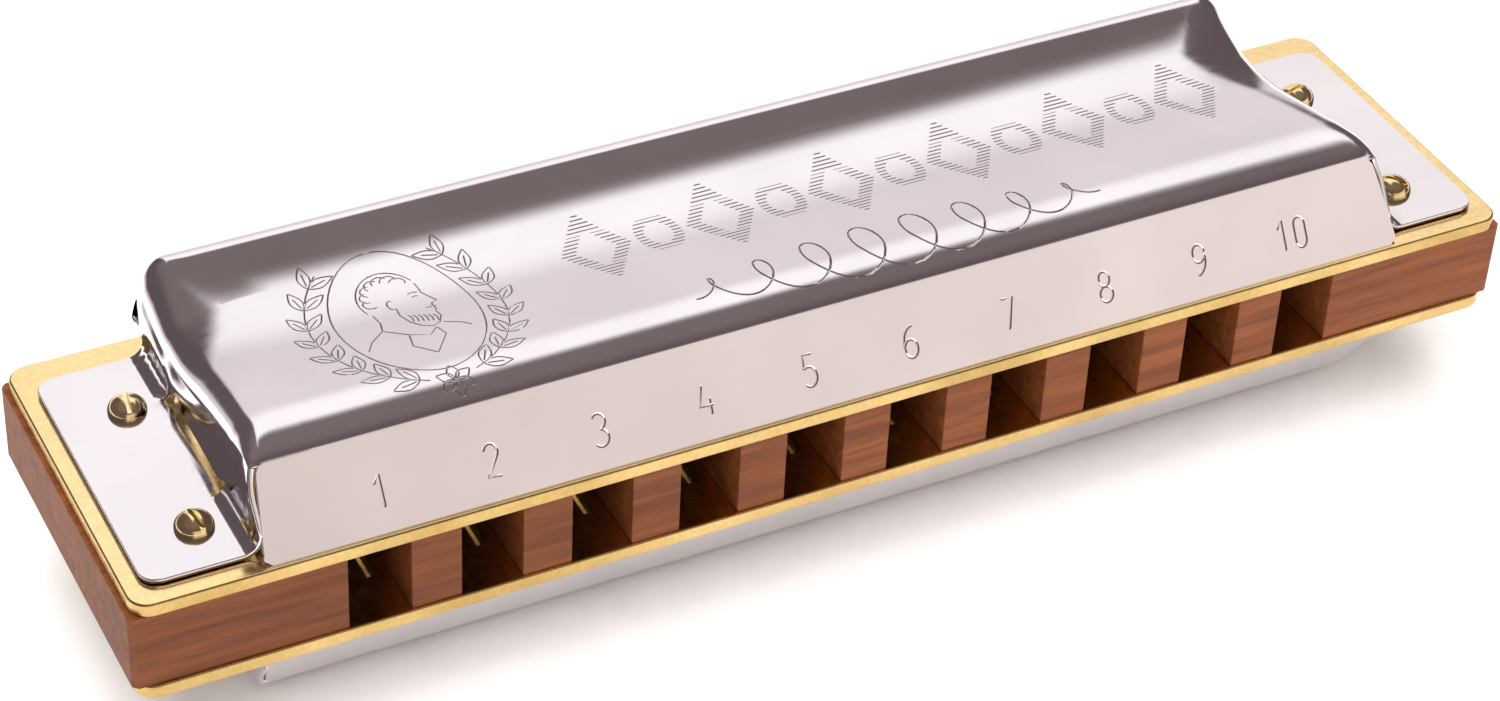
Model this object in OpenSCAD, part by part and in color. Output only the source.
// Ten-hole diatonic harmonica: a slotted wooden comb between two brass reed plates,
// twenty riveted reeds, and two stamped cover plates held by round-head wood screws.
// X runs along the holes with the low notes at -X, the mouth side faces -Y, Z is up.

/* [Comb] */
// Length of the comb
comb_l = 99.5; // [99:0.1:101]
// Depth of the comb, mouth side to rear
comb_d = 24.5; // [24.4:0.1:25]
// Thickness of the comb
comb_t = 5.6; // [5.2:0.1:7]
// Chamfer on the comb's upright corners
comb_ease = 0.35; // [0.1:0.05:0.6]
// Width of an air channel
hole_w = 4.14; // [4.1:0.02:4.6]
// Distance between the centres of two holes
hole_pitch = 7.5; // [7.4:0.05:7.55]

/* [Reed plates] */
// Length of a reed plate
plate_l = 98.9; // [98.4:0.1:99]
// Thickness of a reed plate
plate_t = 1.0; // [0.9:0.05:1.1]
// How far a reed plate stands out past the comb on the mouth side
plate_lip = 0.2; // [0:0.05:0.4]
// Radius of a reed plate's corners
plate_r = 1.4; // [0.8:0.1:1.8]

/* [Reeds] */
// Length of the longest reed's free tongue
reed_long = 14.4; // [13.5:0.1:14.6]
// How much shorter each next reed is
reed_step = 0.62; // [0.5:0.02:0.64]
// Width of a reed
reed_w = 2.1; // [1.8:0.1:2.2]
// Thickness of a reed's tongue
reed_t = 0.25; // [0.2:0.01:0.3]
// Gap between a reed and each side of its slot
slot_gap = 0.2; // [0.1:0.05:0.3]
// Length of a reed's riveted pad
pad_l = 2.8; // [2.4:0.1:2.9]
// Width of a reed's riveted pad
pad_w = 3.0; // [2.6:0.1:3.4]
// Thickness of a reed's riveted pad
pad_t = 0.45; // [0.35:0.05:0.6]
// Diameter of a reed rivet's shank
rivet_d = 1.0; // [0.8:0.1:1.1]

/* [Covers] */
// Thickness of the cover sheet
sheet_t = 0.45; // [0.35:0.05:0.5]
// Half the length of the raised part of a cover
cover_half = 41.0; // [40.8:0.1:41.1]
// Angle between the front strip and the reed plate
strip_lean = 56.5; // [55:0.5:58]
// Radius of the front shoulder
shoulder_r = 2.9; // [2.6:0.1:3]
// How steeply the flat top falls towards the rear
top_fall = 8.9; // [8.5:0.1:9.5]
// Radius of the valley in front of the rear ridge
valley_r = 16; // [15.5:0.1:16.5]
// Radius of the rear ridge
ridge_r = 1.3; // [1.25:0.05:1.4]
// Height of the ridge's centre above the reed plate
ridge_z = 5.3; // [5.25:0.05:5.35]
// Half the length over a cover's end flanges
flange_half = 48.2; // [47.5:0.1:48.3]
// Radius of a flange's outer corners
flange_r = 1.2; // [0.8:0.1:1.6]

/* [Screws] */
// Distance from the middle of the harmonica to a cover screw
screw_x = 43.7; // [43.5:0.1:45]
// Diameter of a cover screw's shank
screw_d = 1.4; // [1.2:0.1:1.5]
// Diameter of a cover screw's head
head_d = 2.6; // [2.3:0.1:2.8]
// Height of a cover screw's head
head_h = 1.0; // [0.8:0.05:1.1]

/* [Hidden] */
$fn = 48;
EPS = 0.01;
HOLES = 10;
ARC_STEPS = 10;

// The row frame: x = 0 at mid-length, y = 0 at mid-depth of the plates, z = 0 under the part
plate_d = comb_d + plate_lip;
y_mouth = plate_lip - plate_d / 2;
cover_h = ridge_z + ridge_r;
total_h = comb_t + 2 * plate_t + 2 * cover_h;
z_mid = total_h / 2;
z_top = z_mid + comb_t / 2;
z_bottom = z_mid - comb_t / 2;

// Reeds: blow tongues point to the mouth, draw tongues point to the rear
blow_tip_y = 4.2;
draw_root_y = 3.95;
slot_tip_gap = 0.25;
slot_root_gap = 0.15;
root_gap = 0.02;
chamber_spare = 0.5;
rivet_clear = 0.02;
rivet_head_d = 1.7;
rivet_head_h = 0.3;

// Nails that hold the reed plates to the comb
NAIL_GAPS = [2, 5, 8];
NAIL_YS = [2.4, 18.5];
nail_d = 0.8;
nail_l = 2.6;
nail_head_d = 1.5;
nail_head_h = 0.25;

// Cover screws
SCREW_YS = [5.0, 17.0];
screw_clear = 0.05;
screw_slot_w = 0.35;
screw_slot_h = 0.35;
screw_depth = 2.5;
screw_tip_h = 0.8;
screw_tip_d = 0.5;

// Cover details, measured from the mouth face and from the plate's outer face
strip_y = 0.2;
strip_inset = 1.05;
ridge_y = comb_d - ridge_r;
flat_y = 10.0;
flat_z = 5.69;
lip_angle = -35;
wall_out = 40.95;
flange_y0 = 1.3;
flange_y1 = 22.0;
vent_y = 12.0;
vent_half = 5.4;
vent_h = 1.2;
scallop = 0.9;

// Middle of hole i, 1 to 10
function hole_x(i) = (i - (HOLES + 1) / 2) * hole_pitch;
function reed_l(i) = reed_long - reed_step * (i - 1);
function blow_root_y(i) = blow_tip_y + reed_l(i);
function chamber_d(i) = blow_root_y(i) + pad_l + chamber_spare;

// Points on an arc about (cy, cz) from angle a0 to a1
function arc(cy, cz, r, a0, a1) =
  [for (k = [0 : ARC_STEPS]) let (a = a0 + (a1 - a0) * k / ARC_STEPS) [cy + r * cos(a), cz + r * sin(a)]];

// The cover's section is a chain of two straight runs and three arcs that meet smoothly.
// The strip rises at strip_lean from [strip_y, 0]; the flat top runs through [flat_y, flat_z].
strip_slope = tan(strip_lean);
top_slope = -tan(top_fall);
apex_y = (flat_z - top_slope * flat_y + strip_slope * strip_y) / (strip_slope - top_slope);
apex_z = strip_slope * (apex_y - strip_y);
shoulder_run = shoulder_r * tan((strip_lean + top_fall) / 2);
crease = [apex_y - shoulder_run * cos(strip_lean), apex_z - shoulder_run * sin(strip_lean)];
shoulder_c = [crease[0] + shoulder_r * sin(strip_lean), crease[1] - shoulder_r * cos(strip_lean)];
// Ridge centre seen along and square to the flat top
ridge_along = (ridge_y - flat_y) * cos(top_fall) - (ridge_z - flat_z) * sin(top_fall);
ridge_above = (ridge_y - flat_y) * sin(top_fall) + (ridge_z - flat_z) * cos(top_fall);
valley_along = ridge_along - sqrt(pow(valley_r + ridge_r, 2) - pow(valley_r - ridge_above, 2));
valley_c = [
  flat_y + valley_along * cos(top_fall) + valley_r * sin(top_fall),
  flat_z - valley_along * sin(top_fall) + valley_r * cos(top_fall)
];
valley_angle = atan2(valley_c[1] - ridge_z, valley_c[0] - ridge_y);

// One face of the sheet, in from the outer face by t
function shoulder_path(t) =
  arc(shoulder_c[0], shoulder_c[1], shoulder_r - t, 90 + strip_lean, 90 - top_fall);
function rear_path(t) = concat(
  arc(valley_c[0], valley_c[1], valley_r + t, 270 - top_fall, valley_angle + 180),
  arc(ridge_y, ridge_z, ridge_r - t, valley_angle, 90),
  arc(ridge_y, ridge_z, ridge_r - t, 90, lip_angle)
);
function strip_foot(t) = [[strip_y + t / sin(strip_lean), 0]];
function cover_path(t) = concat(strip_foot(t), shoulder_path(t), rear_path(t));
function reversed(p) = [for (k = [len(p) - 1 : -1 : 0]) p[k]];

// Stand a section drawn in y and z up and run it from x0 to x1
module along_x(x0, x1) {
  translate([x0, 0, 0])
    rotate([90, 0, 90])
      linear_extrude(x1 - x0)
        children();
}

module rounded_plate(l, d, r) {
  for (sx = [-1, 1])
    for (y = [r, d - r])
      translate([sx * (l / 2 - r), y])
        circle(r);
  translate([-l / 2, r])
    square([l, d - 2 * r]);
  translate([-l / 2 + r, 0])
    square([l - 2 * r, d]);
}

// Places for the nails: x in the partition after a hole, y from the mouth face
module at_nails() {
  for (i = NAIL_GAPS)
    for (y = NAIL_YS)
      translate([hole_x(i) + hole_pitch / 2, y_mouth + y, 0])
        children();
}

module at_screws() {
  for (sx = [-1, 1])
    for (y = SCREW_YS)
      translate([sx * screw_x, y_mouth + y, 0])
        children();
}

module comb_outline() {
  h = comb_l / 2;
  e = comb_ease;
  polygon([
    [-h + e, 0], [h - e, 0], [h, e], [h, comb_d - e],
    [h - e, comb_d], [-h + e, comb_d], [-h, comb_d - e], [-h, e]
  ]);
}

module comb() {
  color("#a8683f")
  difference() {
    translate([0, y_mouth, z_bottom])
      linear_extrude(comb_t)
        comb_outline();
    for (i = [1 : HOLES])
      translate([hole_x(i) - hole_w / 2, y_mouth - 1, z_bottom - 1])
        cube([hole_w, chamber_d(i) + 1, comb_t + 2]);
    at_screws()
      translate([0, 0, z_bottom - 1])
        cylinder(h = comb_t + 2, d = screw_d + 2 * screw_clear);
    at_nails()
      translate([0, 0, z_bottom - 1])
        cylinder(h = comb_t + 2, d = nail_d + 2 * rivet_clear);
  }
}

// A reed plate's body with its nail and screw holes, before the slots
module plate_blank(z) {
  difference() {
    translate([0, y_mouth - plate_lip, z])
      linear_extrude(plate_t)
        rounded_plate(plate_l, plate_d, plate_r);
    at_screws()
      translate([0, 0, z - 1])
        cylinder(h = plate_t + 2, d = screw_d + 2 * screw_clear);
    at_nails()
      translate([0, 0, z - 1])
        cylinder(h = plate_t + 2, d = nail_d + 2 * rivet_clear);
  }
}

module slot(i, y0, y1, z) {
  w = reed_w + 2 * slot_gap;
  translate([hole_x(i) - w / 2, y_mouth + y0, z - 1])
    cube([w, y1 - y0, plate_t + 2]);
}

module rivet_hole(i, y, z) {
  translate([hole_x(i), y_mouth + y, z - 1])
    cylinder(h = plate_t + 2, d = rivet_d + 2 * rivet_clear);
}

function blow_rivet_y(i) = blow_root_y(i) + root_gap + pad_l / 2;
function draw_rivet_y() = draw_root_y - root_gap - pad_l / 2;

module blow_reed_plate() {
  color("#d9b45f")
  difference() {
    plate_blank(z_top);
    for (i = [1 : HOLES]) {
      slot(i, blow_tip_y - slot_tip_gap, blow_root_y(i) + slot_root_gap, z_top);
      rivet_hole(i, blow_rivet_y(i), z_top);
    }
  }
}

module draw_reed_plate() {
  color("#d9b45f")
  difference() {
    plate_blank(z_bottom - plate_t);
    for (i = [1 : HOLES]) {
      slot(i, draw_root_y - slot_root_gap, draw_root_y + reed_l(i) + slot_tip_gap, z_bottom - plate_t);
      rivet_hole(i, draw_rivet_y(), z_bottom - plate_t);
    }
  }
}

// Tongues: thin springs, each in its own node because each one swings by itself
module blow_reed(i) {
  color("#e3c377")
    translate([hole_x(i) - reed_w / 2, y_mouth + blow_tip_y, z_top - reed_t])
      cube([reed_w, reed_l(i), reed_t]);
}

module draw_reed(i) {
  color("#e3c377")
    translate([hole_x(i) - reed_w / 2, y_mouth + draw_root_y, z_bottom - plate_t])
      mirror([0, 0, 1])
        cube([reed_w, reed_l(i), reed_t]);
}

// A riveted pad; z0 is its face on the plate and dir points away from the plate
module reed_pad(i, y0, z0, dir) {
  translate([hole_x(i), y_mouth + y0, dir > 0 ? z0 : z0 - pad_t])
    difference() {
      translate([-pad_w / 2, 0, 0])
        cube([pad_w, pad_l, pad_t]);
      translate([0, pad_l / 2, -1])
        cylinder(h = pad_t + 2, d = rivet_d + 2 * rivet_clear);
    }
}

module blow_reed_pads() {
  color("#d8b668")
  for (i = [1 : HOLES])
    reed_pad(i, blow_root_y(i) + root_gap, z_top, -1);
}

module draw_reed_pads() {
  color("#d8b668")
  for (i = [1 : HOLES])
    reed_pad(i, draw_root_y - root_gap - pad_l, z_bottom - plate_t, -1);
}

// A rivet seen with its head down: the shank ends flush with the plate's far face
module rivet(shank_l) {
  cylinder(h = shank_l, d = rivet_d);
  translate([0, 0, -rivet_head_h])
    cylinder(h = rivet_head_h, d1 = rivet_d, d2 = rivet_head_d);
}

module blow_reed_rivets() {
  color("#c79a48")
  for (i = [1 : HOLES])
    translate([hole_x(i), y_mouth + blow_rivet_y(i), z_top - pad_t])
      rivet(pad_t + plate_t);
}

module draw_reed_rivets() {
  color("#c79a48")
  for (i = [1 : HOLES])
    translate([hole_x(i), y_mouth + draw_rivet_y(), z_bottom - plate_t - pad_t])
      rivet(pad_t + plate_t);
}

// A plate nail standing on the plate's outer face, point down
module nail() {
  translate([0, 0, -nail_l])
    cylinder(h = nail_l, d = nail_d);
  cylinder(h = nail_head_h, d = nail_head_d);
}

module top_plate_nails() {
  color("#b98f45")
  at_nails()
    translate([0, 0, z_top + plate_t])
      nail();
}

module bottom_plate_nails() {
  color("#b98f45")
  at_nails()
    translate([0, 0, z_bottom - plate_t])
      mirror([0, 0, 1])
        nail();
}

// A round-head slotted wood screw with the underside of its head at z = 0
module screw() {
  shank_l = sheet_t + plate_t + screw_depth;
  dome_r = (pow(head_d / 2, 2) + pow(head_h, 2)) / (2 * head_h);
  difference() {
    intersection() {
      translate([0, 0, head_h - dome_r])
        sphere(dome_r);
      cylinder(h = head_h + 1, d = head_d);
    }
    translate([-screw_slot_w / 2, -head_d, head_h - screw_slot_h])
      cube([screw_slot_w, 2 * head_d, 1]);
  }
  translate([0, 0, screw_tip_h - shank_l])
    cylinder(h = shank_l - screw_tip_h, d = screw_d);
  translate([0, 0, -shank_l])
    cylinder(h = screw_tip_h, d1 = screw_tip_d, d2 = screw_d);
}

module top_cover_screws() {
  color("#cfa650")
  at_screws()
    translate([0, 0, z_top + plate_t + sheet_t])
      screw();
}

module bottom_cover_screws() {
  color("#cfa650")
  at_screws()
    translate([0, 0, z_bottom - plate_t - sheet_t])
      mirror([0, 0, 1])
        screw();
}

// The raised part of a cover: bent sheet and two end walls, on z = 0
module cover_shell() {
  along_x(-cover_half, cover_half)
    polygon(concat(cover_path(0), reversed(cover_path(sheet_t))));
  for (sx = [-1, 1])
    along_x(sx > 0 ? wall_out - sheet_t : -wall_out, sx > 0 ? wall_out : sheet_t - wall_out)
      polygon(concat(cover_path(0), [[flange_y1, 0]]));
}

// Cuts that slant the front strip's two ends inwards towards the crease
module strip_end_cuts() {
  slant = atan2(strip_inset, crease[1]);
  for (sx = [-1, 1])
    translate([sx * cover_half, -1, 0])
      rotate([0, -sx * slant, 0])
        translate([sx > 0 ? 0 : -2, 0, -1])
          cube([2, crease[0] + 0.6, crease[1] + 1]);
}

// The end flanges, with a scallop under each side vent
module flanges() {
  scallop_r = (pow(vent_half, 2) + pow(scallop, 2)) / (2 * scallop);
  difference() {
    translate([0, flange_y0, 0])
      linear_extrude(sheet_t)
        rounded_plate(2 * flange_half, flange_y1 - flange_y0, flange_r);
    translate([-wall_out + sheet_t, 0, -1])
      cube([2 * (wall_out - sheet_t), comb_d, sheet_t + 2]);
    for (sx = [-1, 1])
      translate([sx * (wall_out + scallop - scallop_r), vent_y, -1])
        cylinder(h = sheet_t + 2, r = scallop_r, $fn = 180);
  }
}

// A vent through each end wall, a low arch just above the flange
module vents() {
  vent_r = (pow(vent_half, 2) + pow(vent_h, 2)) / (2 * vent_h);
  intersection() {
    along_x(-cover_half - 1, cover_half + 1)
      translate([vent_y, sheet_t + vent_h - vent_r])
        circle(vent_r, $fn = 180);
    difference() {
      translate([-cover_half - 1, 0, -EPS])
        cube([2 * cover_half + 2, comb_d, sheet_t + vent_h + 1]);
      translate([-wall_out + sheet_t + EPS, 0, -1])
        cube([2 * (wall_out - sheet_t - EPS), comb_d, cover_h]);
    }
  }
}

// One cover on z = 0 with its mouth edge at y = 0, as seen from above
module cover() {
  difference() {
    union() {
      difference() {
        cover_shell();
        strip_end_cuts();
        vents();
      }
      flanges();
    }
    for (sx = [-1, 1])
      for (y = SCREW_YS)
        translate([sx * screw_x, y, -1])
          cylinder(h = sheet_t + 2, d = screw_d + 2 * screw_clear);
  }
}

module top_cover() {
  color("#dcd8dc")
    translate([0, y_mouth, z_top + plate_t])
      cover();
}

// The same stamping turned end over end
module bottom_cover() {
  color("#dcd8dc")
    translate([0, y_mouth, z_bottom - plate_t])
      rotate([0, 180, 0])
        cover();
}

comb();
blow_reed_plate();
draw_reed_plate();
top_cover();
bottom_cover();
top_cover_screws();
bottom_cover_screws();
top_plate_nails();
bottom_plate_nails();
blow_reed_pads();
draw_reed_pads();
blow_reed_rivets();
draw_reed_rivets();
for (i = [1 : HOLES]) {
  blow_reed(i);
  draw_reed(i);
}
